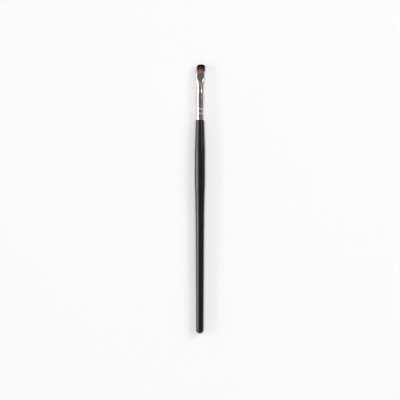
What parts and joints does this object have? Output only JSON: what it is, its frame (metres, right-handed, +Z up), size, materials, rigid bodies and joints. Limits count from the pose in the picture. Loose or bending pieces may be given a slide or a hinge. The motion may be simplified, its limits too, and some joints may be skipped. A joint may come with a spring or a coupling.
{
  "type": "eye make-up brush",
  "caption": "Slim cosmetic eye brush with a short flat tuft of brown hair, a crimped and flattened plated ferrule and a long tapered black lacquered wooden handle.",
  "frame": {"origin": "on the surface the brush lies on, below the middle of its overall box", "axes": "+Y along the brush from the tail to the hair, +Z up and square to the broad side of the flat head, +X to the right of the head seen from above"},
  "size_m": [0.0066, 0.175, 0.0066],
  "materials": {
    "lacquered_wood": "gloss black lacquer",
    "plated_metal": "polished nickel plating",
    "brown_hair": "soft natural hair",
    "amber_resin": "cast resin",
    "cotton_thread": "twisted thread",
    "clear_adhesive": "hardened adhesive"
  },
  "bodies": {
    "root": {"handle": "lacquered_wood", "ferrule": "plated_metal", "hair_tuft": "brown_hair", "root_plug": "amber_resin", "binding_thread": "cotton_thread", "handle_glue": "clear_adhesive"}
  },
  "joints": []
}
